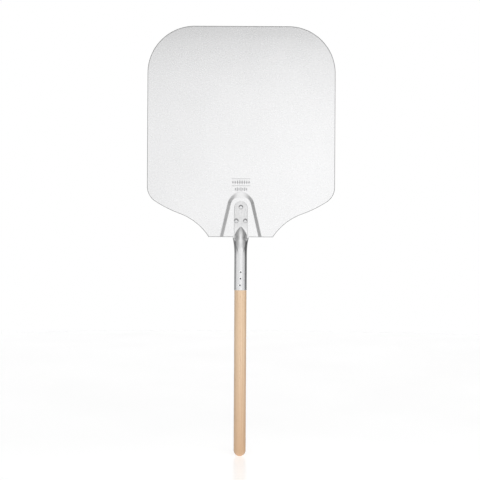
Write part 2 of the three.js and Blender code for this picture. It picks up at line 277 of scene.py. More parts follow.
class Graph:
    """A node material under construction."""

    def __init__(self, name: str) -> None:
        """Starts an empty material with a Principled shader and Object coordinates."""
        self.material = bpy.data.materials.new(name)
        self.material.use_nodes = True
        self.tree = self.material.node_tree
        self.tree.nodes.clear()
        self.out = self.tree.nodes.new("ShaderNodeOutputMaterial")
        self.shader = self.tree.nodes.new("ShaderNodeBsdfPrincipled")
        self.tree.links.new(self.shader.outputs[0], self.out.inputs["Surface"])
        self.place = self.tree.nodes.new("ShaderNodeTexCoord").outputs["Object"]

    def link(self, source, target) -> None:
        """Joins an output to an input."""
        self.tree.links.new(source, target)

    def node(self, kind: str, inputs: dict | None = None, **settings):
        """Adds a node.

        Args:
            kind: The node's type, without the ShaderNode prefix.
            inputs: Input name or number to a value or another node's output.
            **settings: The node's own properties.

        Returns:
            The node.
        """
        new = self.tree.nodes.new("ShaderNode" + kind)
        for key, value in settings.items():
            setattr(new, key, value)
        for key, value in (inputs or {}).items():
            if isinstance(value, bpy.types.NodeSocket):
                self.link(value, new.inputs[key])
            else:
                new.inputs[key].default_value = value
        return new

    def scaled(self, scale: tuple[float, float, float], turn: tuple[float, float, float] = (0, 0, 0)):
        """Object coordinates turned by angles in radians and stretched."""
        return self.node("Mapping", {"Vector": self.place, "Rotation": turn, "Scale": scale}).outputs[0]

    def height(self):
        """Height up the frame's Z axis, in metres."""
        return self.node("SeparateXYZ", {0: self.place}).outputs[2]

    def noise(self, vector, scale: float, detail: float = 4.0, roughness: float = 0.5):
        """The value of a noise between 0 and 1."""
        inputs = {"Vector": vector, "Scale": scale, "Detail": detail, "Roughness": roughness}
        return self.node("TexNoise", inputs).outputs[0]

    def math(self, operation: str, first, second=0.0, third=0.0):
        """The result of one sum on values or outputs."""
        return self.node("Math", {0: first, 1: second, 2: third}, operation=operation).outputs[0]

    def remap(self, value, low: float, high: float, new_low: float, new_high: float):
        """Carries a value from one range to another, with its ends held."""
        inputs = {"Value": value, "From Min": low, "From Max": high, "To Min": new_low, "To Max": new_high}
        return self.node("MapRange", inputs).outputs[0]

    def blend(self, share, first, second):
        """Mixes two colours, each three numbers or another node's output."""
        inputs = {"Factor": share}
        for place, colour in zip(MIX_COLOUR_INPUTS, (first, second)):
            inputs[place] = colour if isinstance(colour, bpy.types.NodeSocket) else (*colour, 1.0)
        return self.node("Mix", inputs, data_type="RGBA").outputs[MIX_COLOUR_OUTPUT]

    def bump(self, height, depth_mm: float, strength: float = 1.0, below=None):
        """Turns heights into shading, with a full height of `depth_mm`."""
        inputs = {"Height": height, "Distance": depth_mm * MM, "Strength": strength}
        if below is not None:
            inputs["Normal"] = below
        return self.node("Bump", inputs).outputs[0]

    def finish(self, colour=None, roughness=None, normal=None) -> bpy.types.Material:
        """Joins what varies over the surface to the shader and returns the material."""
        for name, value in (("Base Color", colour), ("Roughness", roughness), ("Normal", normal)):
            if value is not None:
                self.link(value, self.shader.inputs[name])
        return self.material


def shaded(tone: tuple[float, float, float], share: float) -> tuple[float, ...]:
    """A colour made darker, to a share of itself."""
    return tuple(part * share for part in tone)


@dataclass(frozen=True)
class BrushedMetal:
    """Metal with a fine grain along one axis, soft clouds in its colour, and handling marks.

    It can be dull above one height and mottled below another, both in millimetres, and darker at its
    rim with painted shade. Each of these is left out where its number is 0.
    """

    name: str
    tone: tuple[float, float, float]
    roughness: float
    grain: Grain
    grain_scale: float = 900.0
    grain_depth: float = 0.0014
    cloud: float = 0.03
    mottle: float = 0.0
    mottle_below: float = 0.0
    mottle_fade: float = 30.0
    painted_rim_shade: float = 0.0
    rim_roughness: float = 0.2
    dull_above: float = 0.0
    dull_fade: float = 6.0
    dull_tone: float = 0.82

    def material(self) -> bpy.types.Material:
        """Builds the node material."""
        graph = Graph(self.name)
        graph.shader.inputs["Metallic"].default_value = 1.0
        grain = graph.noise(graph.scaled(self.grain.value), self.grain_scale, detail=3.0, roughness=0.6)
        clouds = graph.noise(graph.place, 9.0, detail=3.0, roughness=0.55)
        dark = shaded(self.tone, 1.0 - self.cloud)
        colour = graph.blend(graph.remap(clouds, 0.3, 0.7, 0.0, 1.0), dark, self.tone)
        rubs = graph.noise(graph.scaled((1.0, 1.0, 0.35), (0.0, 0.7, 0.0)), 60.0, detail=6.0, roughness=0.7)
        low, high = self.roughness * 0.93, self.roughness * 1.07
        roughness = graph.remap(graph.math("ADD", grain, rubs), 0.6, 1.4, low, high)
        normal = graph.bump(grain, self.grain_depth)
        if self.dull_above > 0.0:
            colour = graph.blend(self._dullness(graph), colour, shaded(self.tone, self.dull_tone))
        # Painted shade: the rim attribute darkens the colour, standing for the dark edge the light gives, and
        # also roughens it.
        if self.painted_rim_shade > 0.0:
            rim = graph.node("Attribute", attribute_name="rim").outputs["Fac"]
            colour = graph.blend(rim, colour, shaded(self.tone, self.painted_rim_shade))
            roughness = graph.math("MULTIPLY_ADD", rim, self.rim_roughness, roughness)
        if self.mottle > 0.0:
            normal = graph.bump(self._mottling(graph), self.mottle, below=normal)
        return graph.finish(colour, roughness, normal)

    def _dullness(self, graph: Graph):
        """How dull the metal is: flecked, and fading in round a height."""
        low, high = (self.dull_above - self.dull_fade) * MM, (self.dull_above + self.dull_fade) * MM
        dull = graph.remap(graph.height(), low, high, 0.0, 1.0)
        flecks = graph.noise(graph.scaled((1.0, 1.0, 0.25)), 380.0, detail=4.0, roughness=0.65)
        return graph.math("MULTIPLY", dull, graph.remap(flecks, 0.35, 0.65, 0.3, 1.0))

    def _mottling(self, graph: Graph):
        """Heights of small soft spots that fade out up to a height."""
        top = self.mottle_below * MM
        share = graph.remap(graph.height(), top - self.mottle_fade * MM, top, 1.0, 0.0)
        spots = graph.noise(graph.place, 520.0, detail=3.0, roughness=0.6)
        return graph.math("MULTIPLY", spots, share)


@dataclass(frozen=True)
class Beech:
    """Sanded beech: straight pale grain, short darker flecks, and a colour that darkens towards the butt.

    The rings are a sine across the pole, of `ring_rate` radians to the metre, and wander a little.
    The darkening is `darker_butt_share` at the butt and ends `darker_butt_height` metres above it.
    """

    name: str
    pale: tuple[float, float, float] = (0.80, 0.615, 0.425)
    deep: tuple[float, float, float] = (0.66, 0.43, 0.255)
    fleck: tuple[float, float, float] = (0.50, 0.30, 0.17)
    darker_butt: tuple[float, float, float] = (0.58, 0.35, 0.19)
    sheen: float = 0.9
    ring_turn: float = 0.5
    ring_rate: float = 1900.0
    ring_wander: float = 16.0
    fleck_share: float = 0.55
    darker_butt_share: float = 0.72
    darker_butt_height: float = 0.24
    smooth_roughness: float = 0.34
    rough_roughness: float = 0.44

    def material(self) -> bpy.types.Material:
        """Builds the node material."""
        graph = Graph(self.name)
        graph.shader.inputs["Specular IOR Level"].default_value = self.sheen
        wander = graph.noise(graph.scaled((1.0, 1.0, 0.12)), 22.0, detail=2.0)
        streaks = graph.noise(graph.scaled((1.0, 1.0, 0.03)), 420.0, detail=5.0, roughness=0.65)
        fleck = graph.noise(graph.scaled((1.0, 1.0, 0.09)), 1500.0, detail=1.0, roughness=0.4)
        rings = graph.math("MULTIPLY", self._rings(graph, wander), 0.45)
        tone = graph.math("ADD", rings, graph.math("MULTIPLY", streaks, 0.9))
        colour = graph.blend(graph.remap(tone, 0.25, 1.15, 0.0, 1.0), self.pale, self.deep)
        colour = graph.blend(graph.remap(fleck, 0.62, 0.74, 0.0, self.fleck_share), colour, self.fleck)
        # Darker towards the butt, fading out above it.
        butt = graph.remap(graph.height(), 0.0, self.darker_butt_height, self.darker_butt_share, 0.0)
        darker_butt = graph.math("MULTIPLY", butt, graph.remap(wander, 0.3, 0.7, 0.7, 1.0))
        colour = graph.blend(darker_butt, colour, self.darker_butt)
        roughness = graph.remap(streaks, 0.3, 0.7, self.smooth_roughness, self.rough_roughness)
        normal = graph.bump(graph.math("SUBTRACT", streaks, fleck), 0.05, strength=0.5)
        return graph.finish(colour, roughness, normal)

    def _rings(self, graph: Graph, wander):
        """The growth rings, as a wave between 0 and 1 across the pole."""
        across = graph.node("SeparateXYZ", {0: graph.scaled((1.0, 1.0, 1.0), (0.0, 0.0, self.ring_turn))})
        steady = graph.math("MULTIPLY", across.outputs[0], self.ring_rate)
        ring = graph.math("ADD", steady, graph.math("MULTIPLY", wander, self.ring_wander))
        return graph.math("MULTIPLY_ADD", graph.math("SINE", ring), 0.5, 0.5)


@dataclass(frozen=True)
class PaleFloor:
    """A white satin floor that glows enough to stay white, with a faint soft reflection."""

    name: str = "studio_floor"
    tone: tuple[float, float, float] = (0.92, 0.92, 0.92)
    glow: float = 0.48
    roughness: float = 0.24
    roughness_spread: float = 0.04

    def material(self) -> bpy.types.Material:
        """Builds the node material."""
        graph = Graph(self.name)
        sheen = graph.noise(graph.place, 3.0, detail=2.0)
        graph.shader.inputs["Base Color"].default_value = (*self.tone, 1.0)
        graph.shader.inputs["Emission Color"].default_value = (1.0, 1.0, 1.0, 1.0)
        graph.shader.inputs["Emission Strength"].default_value = self.glow
        roughest = self.roughness + self.roughness_spread
        return graph.finish(roughness=graph.remap(sheen, 0.3, 0.7, self.roughness, roughest))


# ---------------------------------------------------------------- the peel's pieces


@dataclass
class Piece:
    """One visible piece, which rides on the peel's body and stands for a CAD node if it names one."""

    node: str
    slot: str

    def dress(self, thing: bpy.types.Object, material: bpy.types.Material) -> bpy.types.Object:
        """Gives a built object its material and its place in the frame, and reports it."""
        thing.data.materials.append(material)
        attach(thing, BODY)
        if self.node:
            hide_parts(self.node)
        log.info("%s: %d faces", thing.name, len(thing.data.polygons))
        return thing


@dataclass
class Blade(Piece):
    """The sheet: straight sides, large front corners, swept shoulders, a neck and a pressed pad.

    Its faces ripple by up to a fifth of a millimetre. `ripple_reach` is a little more than the highest
    ripple, in waves. The grid is fine up to `fine_top` and out to `fine_half_width`, and crowds at the edges.
    """

    node: str = "blade"
    slot: str = "blade"
    thickness: float = 1.5
    front_corner_radius: float = 101.6
    neck_half_width: float = 69.5
    neck_heading: float = 57.0
    neck_sweep_radius: float = 126.0
    shoulder_heading: float = 20.0
    shoulder_radius: float = 265.0
    side_corner_heading: float = 33.0
    pad_height: float = 4.8
    pad_slope_width: float = 8.4
    pad_slope_fillet: float = 0.14
    pad_top_widens: float = 5.0
    pad_arch_radius: float = 25.9
    pad_arch_centre: float = 66.0
    pad_leg_lean: float = 12.9
    food_bevel: tuple[float, float] = (1.9, 0.55)
    oven_bevel: tuple[float, float] = (1.0, 0.35)
    rim_width: float = 1.3
    wave: float = 0.06
    ripple_reach: float = 3.3
    edge_zone: float = 7.0
    fine_top: float = 108.0
    fine_pitch: float = 1.25
    fine_half_width: float = 54.0

    def __post_init__(self) -> None:
        """Takes the sheet's place from the frame."""
        low, high = node_box(self.node)
        self.neck_z, self.length = low[2], high[2] - low[2]
        self.half_width = high[0]
        self.oven_face = high[1]
        self.side = self._side_outline()

    def _side_outline(self) -> Array:
        """The outline's right side as (x, up) points, from the neck corner to the straight front edge."""
        points = [np.array([[self.neck_half_width, 0.0]])]
        stops = [self.neck_heading, self.shoulder_heading, self.side_corner_heading]
        radii = [self.neck_sweep_radius, self.shoulder_radius]
        for heading, turn_to, radius in zip(stops, stops[1:], radii):
            points.append(tangent_arc(points[-1][-1], heading, turn_to, radius, 60))
        room = self.half_width - points[-1][-1, 0]
        radius = room / (1.0 - math.sin(math.radians(self.side_corner_heading)))
        points.append(tangent_arc(points[-1][-1], self.side_corner_heading, 90.0, radius, 60))
        straight_end = np.array([[self.half_width, self.length - self.front_corner_radius]])
        points.append(straight_end)
        points.append(tangent_arc(straight_end[0], 90.0, 180.0, self.front_corner_radius, 160))
        return np.vstack(points)

    def _rows(self) -> Array:
        """Heights of the grid's rows: close at both ends, even over the pad, wide in between."""
        edge = away_from_edge(self.edge_zone, 13)
        corner_start = self.length - self.front_corner_radius
        turn = np.radians(np.linspace(0.0, 66.0, 26))
        near_front = corner_start + self.front_corner_radius * np.sin(turn)
        return np.concatenate([
            edge,
            np.arange(self.edge_zone + self.fine_pitch, self.fine_top, self.fine_pitch),
            np.linspace(self.fine_top + 4.0, corner_start - 6.0, 26),
            near_front,
            self.length - edge[::-1],
        ])

    def _columns(self, half_width: Array) -> Array:
        """X of the right half's columns in each row: even near the pad, close at the edge."""
        even = np.linspace(0.0, self.fine_half_width, 64)[None] * np.ones_like(half_width)
        edge = away_from_edge(10.0, 14)[::-1][None]
        share = np.linspace(0.0, 1.0, 15)[None, 1:-1]
        last = half_width - edge[:, :1]
        between = even[:, -1:] + (last - even[:, -1:]) * share**1.25
        return np.hstack([even, between, half_width - edge])

    def pad_rise(self, x: Array, up: Array) -> Array:
        """How far the sheet is pressed out: an arch on leaning legs, with a filleted slope round it.

        The slope runs over its width measured straight out from the legs and the arch, and is gentler
        towards the arch's top.
        """
        lean = math.radians(self.pad_leg_lean)
        x, above = np.abs(x), up - self.pad_arch_centre
        leg = x * math.cos(lean) + above * math.sin(lean)
        arch = np.hypot(x, above)
        turn = np.arctan2(above, x)
        outside = np.where(turn < lean, leg, arch) - self.pad_arch_radius
        wider = self.pad_top_widens * smooth_step(turn, math.radians(40.0), math.radians(90.0))
        share = 0.5 - outside / (self.pad_slope_width + wider)
        return self.pad_height * filleted_ramp(share, self.pad_slope_fillet)

    def _face(self, x: Array, up: Array, edge: Array, side: Side) -> Array:
        """Y of one face: the flat sheet, less the pad's rise, drawn in by a round bevel at the edge.

        The bevel's drop is d (1 - sqrt(1 - t^2)) with t = 1 at the edge and 0 one bevel width in.
        """
        width, drop = self.food_bevel if side is Side.FOOD else self.oven_bevel
        t = np.clip(1.0 - edge / width, 0.0, 1.0)
        bevel = drop * (1.0 - np.sqrt(1.0 - t * t))
        face = self.oven_face if side is Side.OVEN else self.oven_face - self.thickness
        ripple = np.sin(x / 47.0 + 0.6) * np.sin(up / 71.0 + 1.1) + 0.6 * np.sin(x / 83.0 - up / 58.0)
        inward = smooth_step(edge, 0.0, 30.0)
        return face - self.pad_rise(x, up) - side.value * bevel - self.wave * inward * (ripple + 1.6)

    def build(self, material: bpy.types.Material) -> bpy.types.Object:
        """Builds the sheet as two faces on one grid, joined round the rim."""
        up = self._rows()[:, None]
        half_width = np.interp(up, self.side[:, 1], self.side[:, 0])
        right = self._columns(half_width)
        x = np.hstack([-right[:, :0:-1], right])
        up = up + np.zeros_like(x)
        border = np.vstack([[[0.0, 0.0]], self.side, [[0.0, self.length]]])
        edge = distance_to_path(np.abs(x), up, border)
        # Painted shade: a dark line along the sheet's cut edge.
        rim = smooth_step(edge, self.rim_width, self.rim_width * 0.35)
        z = up + self.neck_z
        faces = {side: np.stack([x, self._face(x, up, edge, side), z, rim], axis=-1) for side in Side}
        skin = Skin("blade_sheet")
        skin.add_grid(faces[Side.FOOD])
        skin.add_grid(faces[Side.OVEN], flip=True)
        borders = [self._border(faces[side]) for side in Side]
        skin.add_grid(np.stack(borders), ring=True)
        return self.dress(skin.build(), material)

    @staticmethod
    def _border(face: Array) -> Array:
        """The points round a face's border, in order."""
        return np.concatenate([face[0], face[1:, -1], face[-1, -2::-1], face[-2:0:-1, 0]])

    def food_face_y(self) -> float:
        """Y of the flat part of the food side."""
        return self.oven_face - self.thickness


@dataclass
class Socket(Piece):
    """The tube: a round socket below, pressed flat above and trimmed to a round-ended tongue.

    Its axis is X = Y = 0, so its back is one radius behind the axis all the way up.
    """

    node: str = "socket"
    slot: str = "socket"
    wall: float = 1.2
    tongue_width: float = 28.7
    ear_half_width: float = 17.8
    ear_top: float = 1.5
    ear_fillet: float = 1.5
    ear_round: float = 0.5
    press_start: float = -44.0
    sides_flat: float = -2.0
    ridge_forms: float = -9.0
    ridge_foot: float = -1.0
    ridge_tip: float = 23.0
    ridge_half_width: float = 11.8
    crown_power: float = 1.1
    crease: float = 0.10
    flare_power: float = 2.45
    cut_edge: float = 0.45
    rim_width: float = 1.0
    lip: float = 0.4
    dimple_radius: float = 3.4
    dimple_depth: float = 1.15
    around: int = 208

    def __post_init__(self) -> None:
        """Takes the tube's place from the frame."""
        low, high = node_box(self.node)
        self.radius = high[1]
        self.neck_z = node_box("blade")[0][2]
        self.mouth = low[2] - self.neck_z
        self.tip = high[2] - self.neck_z
        self.pins = [np.add(*node_box(n)) / 2.0 for n in PIN_NODES]

    def _natural(self, up: Array) -> tuple[Array, Array]:
        """Half-width and side radius of the pressed tube before it is trimmed."""
        flare = np.clip((up - self.press_start) / -self.press_start, 0.0, 1.0) ** self.flare_power
        half_width = self.radius + (self.ear_half_width - self.radius) * flare
        press = smooth_step(up, self.press_start, self.sides_flat)
        return half_width, self.radius + (self.wall - self.radius) * press

    def _tongue(self) -> tuple[Array, Array]:
        """Height and half-width of the trimmed part's sections, from the tip down to the ears."""
        half, ear_round = self.tongue_width / 2.0, self.ear_round
        turn = np.radians(np.linspace(1.5, 90.0, 34))
        tip_up, tip_w = self.tip - half + half * np.cos(turn), half * np.sin(turn)
        side_up = np.linspace(self.tip - half - 1.0, self.ridge_tip + 1.0, 22)
        ridge_up = np.linspace(self.ridge_tip, self.ear_top + self.ear_fillet, 56)
        side_w = np.full(len(side_up) + len(ridge_up), half)
        fillet = np.radians(np.linspace(180.0, 270.0, 10))[1:]
        fillet_w = half + self.ear_fillet * (1.0 + np.cos(fillet))
        fillet_up = self.ear_top + self.ear_fillet * (1.0 + np.sin(fillet))
        ledge_w = np.linspace(fillet_w[-1], self.ear_half_width - ear_round, 6)[1:]
        ledge_up = self.ear_top - 0.02 * np.arange(1, 6)
        round_off = np.radians(np.linspace(90.0, 0.0, 6))[1:]
        round_w = self.ear_half_width - ear_round + ear_round * np.cos(round_off)
        round_up = ledge_up[-1] - ear_round + ear_round * np.sin(round_off)
        up = np.concatenate([tip_up, side_up, ridge_up, fillet_up, ledge_up, round_up])
        return up, np.concatenate([tip_w, side_w, fillet_w, ledge_w, round_w])

    def _stations(self) -> dict[str, Array]:
        """Height, half-width, half-thickness, corner radius and inset of each section, in order.

        They run from the tip of the tongue down to the mouth, over its lip and back up inside.
        """
        cut_up, cut_w = self._tongue()
        pressed_up = np.linspace(cut_up[-1] - 0.4, self.press_start, 96)
        free_up = np.concatenate([
            pressed_up,
            np.linspace(self.press_start - 3.0, self.mouth + 46.0, 8),
            np.linspace(self.mouth + 45.5, self.mouth + self.lip + 0.6, 88),
        ])
        natural_w, natural_r = self._natural(free_up)
        lip = np.radians(np.linspace(0.0, 180.0, 9))
        lip_up = self.mouth + self.lip * (1.0 - np.sin(lip))
        lip_inset = self.wall / 2.0 * (1.0 - np.cos(lip))
        inner_up = np.linspace(self.mouth + 2.0, self.press_start, 12)
        inner_inset = np.full(len(inner_up), self.wall)
        round_part = np.full(len(lip_up) + len(inner_up), self.radius)
        blend = smooth_step(free_up, pressed_up[0] - 3.0, pressed_up[0])
        free_corner = natural_r + (self.cut_edge - natural_r) * blend * 0.4
        cut_corner = np.minimum(self.cut_edge, cut_w * 0.8)
        outside = np.zeros(len(cut_up) + len(free_up))
        return {
            "up": np.concatenate([cut_up, free_up, lip_up, inner_up]),
            "width": np.concatenate([cut_w, natural_w, round_part]),
            "thick": np.concatenate([np.full(len(cut_up), self.wall), natural_r, round_part]),
            "corner": np.concatenate([cut_corner, free_corner, round_part]),
            "inset": np.concatenate([outside, lip_inset, inner_inset]),
        }

    def _section(self, stations: dict[str, Array]) -> tuple[Array, Array]:
        """X and depth of every section: a rounded slot walked at an even pace, with the crown on it.

        A walk of length w from the middle of a side goes up the side, round the corner and along the
        flat. The crown stands on the front face as half an ellipse, sqrt(1 - (x / c)^2), that is as
        wide as the tube below and narrows to a ridge with a soft foot above.
        """
        up, width, thick, radius = (stations[k][:, None] for k in ("up", "width", "thick", "corner"))
        inset = stations["inset"][:, None]
        s = np.linspace(0.0, 1.0, self.around, endpoint=False)[None]
        s = s - 0.5 * np.sin(4.0 * math.pi * s) / (4.0 * math.pi)
        side, bend, flat = thick - radius, math.pi / 2.0 * radius, 2.0 * (width - radius)
        half_loop = 2.0 * side + 2.0 * bend + flat
        walk = np.where(s < 0.5, 2.0 * s, 2.0 - 2.0 * s) * half_loop
        near = np.minimum(walk, half_loop - walk)
        angle = np.clip(near - side, 0.0, bend) / radius
        x = width - radius * (1.0 - np.cos(angle)) - np.clip(near - side - bend, 0.0, flat / 2.0)
        x = np.where(walk < half_loop / 2.0, x, -x)
        rise = np.minimum(near, side) + radius * np.sin(angle)
        pressed = np.clip((up - self.press_start) / (self.ridge_tip - self.press_start), 0.0, 1.0)
        stands = (1.0 - pressed**2) ** self.crown_power
        crown = 2.0 * self.wall + 2.0 * (self.radius - self.wall) * stands
        run = np.clip((up - self.ridge_foot) / (self.ridge_tip - self.ridge_foot), 0.0, 0.98)
        foot = self.ridge_half_width * (1.0 - run**2)
        q = 1.0 - (x / foot) ** 2
        ridge = np.sqrt(0.5 * (q + np.sqrt(q * q + self.crease**2)))
        dome = np.sqrt(np.clip(1.0 - (x / width) ** 2, 0.0, 1.0))
        share = smooth_step(up, self.ridge_forms, self.ridge_foot)
        swell = np.maximum(crown - 2.0 * thick, 0.0) * (dome + (ridge - dome) * share)
        front = s < 0.5
        depth = thick + np.where(front, rise + swell, -rise)
        shrink = 1.0 - inset / self.radius
        return x * shrink, self.radius + (depth - self.radius) * np.where(inset > 0.0, shrink, 1.0)

    def _dimples(self, x: Array, up: Array, front: Array, outer: Array) -> Array:
        """How far the punch has pushed the wall in: a round-bottomed cone with a low raised lip."""
        depth = np.zeros_like(x)
        for pin in self.pins:
            away = np.hypot(x - pin[0], up + self.neck_z - pin[2]) / self.dimple_radius
            bowl = np.clip(1.0 - away, 0.0, 1.0)
            depth += self.dimple_depth * bowl * (0.35 + 0.65 * smooth_step(bowl, 0.0, 0.6))
            depth -= 0.1 * np.exp(-(((away - 1.08) / 0.16) ** 2))
        return depth * front * outer

    def build(self, material: bpy.types.Material) -> bpy.types.Object:
        """Builds the tube as one loft from the tip of the tongue to the inside of the socket."""
        stations = self._stations()
        x, depth = self._section(stations)
        up = stations["up"][:, None] + np.zeros_like(x)
        y = self.radius - depth
        front = (y < -self.radius * 0.5) & (up < self.press_start + 8.0)
        outer = stations["inset"][:, None] == 0.0
        y = y + self._dimples(x, up, front, outer)
        # Painted shade: a dark line along the cut edges of the tongue.
        cut = smooth_step(stations["up"][:, None], self.ear_top - 0.6, self.ear_top)
        from_side = stations["width"][:, None] - np.abs(x)
        rim = cut * smooth_step(from_side, self.rim_width, 0.0) + 0.0 * y
        skin = Skin("socket_tube")
        skin.add_loft(np.stack([x, y, up + self.neck_z, rim], axis=-1))
        return self.dress(skin.build(), material)


@dataclass
class Rivet(Piece):
    """A set rivet: a coned head on the tongue, and a squashed tail in the hollow behind the pad.

    `seat_shade_width` is the width of the line of painted shade round the foot of the head.
    """

    node: str = "rivet_top"
    slot: str = "rivets"
    head_height: float = 2.35
    crown_radius: float = 2.2
    crown_fillet: float = 0.5
    seat_edge: float = 0.18
    seat_shade_width: float = 0.9
    tail_height: float = 1.4
    shank_radius: float = 2.4
    tail_radius: float = 3.7
    tail_round: float = 0.45
    sides: int = 96

    def _profile(self, grip: float, head_radius: float) -> Array:
        """(radius, along) points from the middle of the tail to the crown of the head.

        The head is a straight cone that meets its flat crown in a hyperbola: the cone's height plus
        (l - hypot(l, f)) / 2, with l how far the cone is below the crown and f the fillet. It is then
        stretched a little, to end at the full height.
        """
        tail, edge, end = self.tail_height, self.tail_round, -grip - self.tail_height
        rise = self.head_height - self.seat_edge
        radius = head_radius * np.linspace(1.0, 0.0, 60)
        flank = (head_radius - radius) * rise / (head_radius - self.crown_radius)
        level = rise - flank
        height = flank + 0.5 * (level - np.hypot(level, self.crown_fillet))
        height = self.seat_edge + (height - height[0]) * rise / (height[-1] - height[0])
        return np.vstack([
            [[0.0, end]],
            [[self.tail_radius * 0.55, -grip - tail * 0.985]],
            corner((self.tail_radius - edge, end + edge), edge, -90.0, 0.0, 8),
            corner((self.tail_radius - 0.2, -grip - 0.2), 0.2, 0.0, 90.0, 4),
            [[self.shank_radius, -grip]],
            [[self.shank_radius, 0.0]],
            [[head_radius - self.seat_edge, 0.0]],
            np.stack([radius, height], axis=1),
        ])

    def build(self, material: bpy.types.Material) -> bpy.types.Object:
        """Builds the rivet round its axis and lays it along Y, with its head to the food side."""
        low, high = node_box(self.node)
        centre = (low + high) / 2.0
        head_radius = (high[0] - low[0]) / 2.0
        grip = high[1] - low[1] - self.head_height - self.tail_height
        along_z = turned(self._profile(grip, head_radius), self.sides)
        from_edge = head_radius - np.hypot(along_z[..., 0], along_z[..., 1])
        # Painted shade: a dark ring round the foot of the head.
        rim = smooth_step(from_edge, self.seat_shade_width, 0.0) * (along_z[..., 2] >= 0.0)
        laid = laid_along_y(along_z, centre, low[1] + self.head_height)
        skin = Skin(self.node + "_set")
        skin.add_loft(np.concatenate([laid, rim[..., None]], axis=-1))
        return self.dress(skin.build(), material)


@dataclass
class DrivePin(Piece):
    """A drive pin: a small head, worn a little domed, on a pointed shank."""

    node: str = "ferrule_pin_top"
    slot: str = "pins"
    head_height: float = 0.5
    shank_radius: float = 0.8
    point: float = 3.0
    sides: int = 40

    def build(self, material: bpy.types.Material) -> bpy.types.Object:
        """Builds the pin round its axis and lays it along Y, with its head to the food side."""
        low, high = node_box(self.node)
        centre = (low + high) / 2.0
        radius = (high[0] - low[0]) / 2.0
        length = high[1] - low[1]
        crown = corner((radius - 0.25, -0.25), 0.25, 0.0, 80.0, 6)
        profile = np.vstack([
            [[0.0, -length]],
            [[self.shank_radius, self.point - length]],
            [[self.shank_radius, -self.head_height]],
            [[radius, -self.head_height]],
            crown,
            [[radius * 0.4, 0.0], [0.0, 0.0]],
        ])
        skin = Skin(self.node + "_driven")
        skin.add_loft(laid_along_y(turned(profile, self.sides), centre, low[1]))
        return self.dress(skin.build(), material)


@dataclass
class Handle(Piece):
    """The beech pole: a round butt, a long plain shaft and the tenon that goes up the socket."""

    node: str = "handle"
    slot: str = "handle"
    tenon_radius: float = 12.05
    tenon_chamfer: float = 1.5
    shoulder_round: float = 0.35
    sides: int = 128

    def build(self, material: bpy.types.Material) -> bpy.types.Object:
        """Builds the pole as one turned surface, uneven along its length by a few hundredths."""
        low, high = node_box(self.node)
        radius, end = high[0], high[2]
        shoulder = node_box("socket")[0][2] - 0.1
        turn = np.radians(np.linspace(0.0, 90.0, 40))
        butt = np.stack([radius * np.sin(turn), radius * (1.0 - np.cos(turn))], axis=1)
        shaft_z = np.linspace(radius + 3.0, shoulder - 2.0, 110)
        shaft = np.stack([np.full_like(shaft_z, radius), shaft_z], axis=1)
        eased = self.shoulder_round
        edge = corner((radius - eased, shoulder - eased), eased, 0.0, 90.0, 6)
        tenon = np.array([
            [self.tenon_radius, shoulder],
            [self.tenon_radius, end - self.tenon_chamfer],
            [self.tenon_radius - self.tenon_chamfer, end],
            [0.0, end],
        ])
        points = turned(np.vstack([butt, shaft, edge, tenon]), self.sides)
        z = points[..., 2]
        lathe_marks = 1.0 - 0.0012 * (1.0 + np.sin(z / 31.0) * np.sin(z / 13.0 + 1.3))
        points[..., :2] *= lathe_marks[..., None]
        skin = Skin("handle_pole")
        skin.add_loft(points)
        return self.dress(skin.build(), material)


@dataclass
class MakersMark(Piece):
    """A plain etched device on the blade: lozenges between two rules, and a row of blocks below."""

    node: str = ""
    slot: str = "blade"
    centre_up: float = 118.4
    width: float = 40.0
    height: float = 15.0
    lozenges: int = 8
    rule: float = 0.9
    blocks_up: float = 103.4
    blocks: int = 7
    blocks_width: float = 28.0
    block_height: float = 7.4
    proud: float = 0.02

    def build(self, blade: Blade, material: bpy.types.Material) -> bpy.types.Object:
        """Builds the device as thin plates lying on the blade's food side."""
        skin = Skin("blade_mark")
        half, rise = self.width / 2.0, self.height / 2.0
        for up in (self.centre_up - rise, self.centre_up + rise):
            self._plate(skin, blade, self._bar(0.0, up, half, self.rule / 2.0))
        pitch = self.width / self.lozenges
        for i in range(self.lozenges):
            x = -half + pitch * (i + 0.5)
            tall = (rise - 2.2 * self.rule) * (1.0 - 0.10 * abs(i - (self.lozenges - 1) / 2.0))
            self._plate(skin, blade, self._lozenge(x, self.centre_up, pitch * 0.40, tall))
        pitch = self.blocks_width / self.blocks
        for i in range(self.blocks):
            x = -self.blocks_width / 2.0 + pitch * (i + 0.5)
            tall = self.block_height / (2.0 if i % 2 else 2.8)
            self._plate(skin, blade, self._bar(x, self.blocks_up, pitch * 0.3, tall))
        return self.dress(skin.build(smooth=False, weld=0.0005), material)

    @staticmethod
    def _lozenge(x: float, up: float, wide: float, tall: float) -> Array:
        """Corners of a lozenge of one half-width and one half-height."""
        signs = np.array([[1, 0], [0, 1], [-1, 0], [0, -1]])
        return np.array([x, up]) + signs * np.array([wide, tall])

    @staticmethod
    def _bar(x: float, up: float, wide: float, tall: float) -> Array:
        """Corners of a bar of one half-width and one half-height."""
        signs = np.array([[-1, -1], [1, -1], [1, 1], [-1, 1]])
        return np.array([x, up]) + signs * np.array([wide, tall])

    def _plate(self, skin: Skin, blade: Blade, outline: Array) -> None:
        """Adds one plate, from just under the sheet's surface to a hair above it."""
        face = blade.food_face_y()
        x, z = outline[:, 0], outline[:, 1] + blade.neck_z
        depths = (face + 0.2, face - self.proud - blade.wave * blade.ripple_reach)
        skin.add_loft(np.stack([np.stack([x, np.full(len(x), y), z], axis=1) for y in depths]))


# ---------------------------------------------------------------- the studio


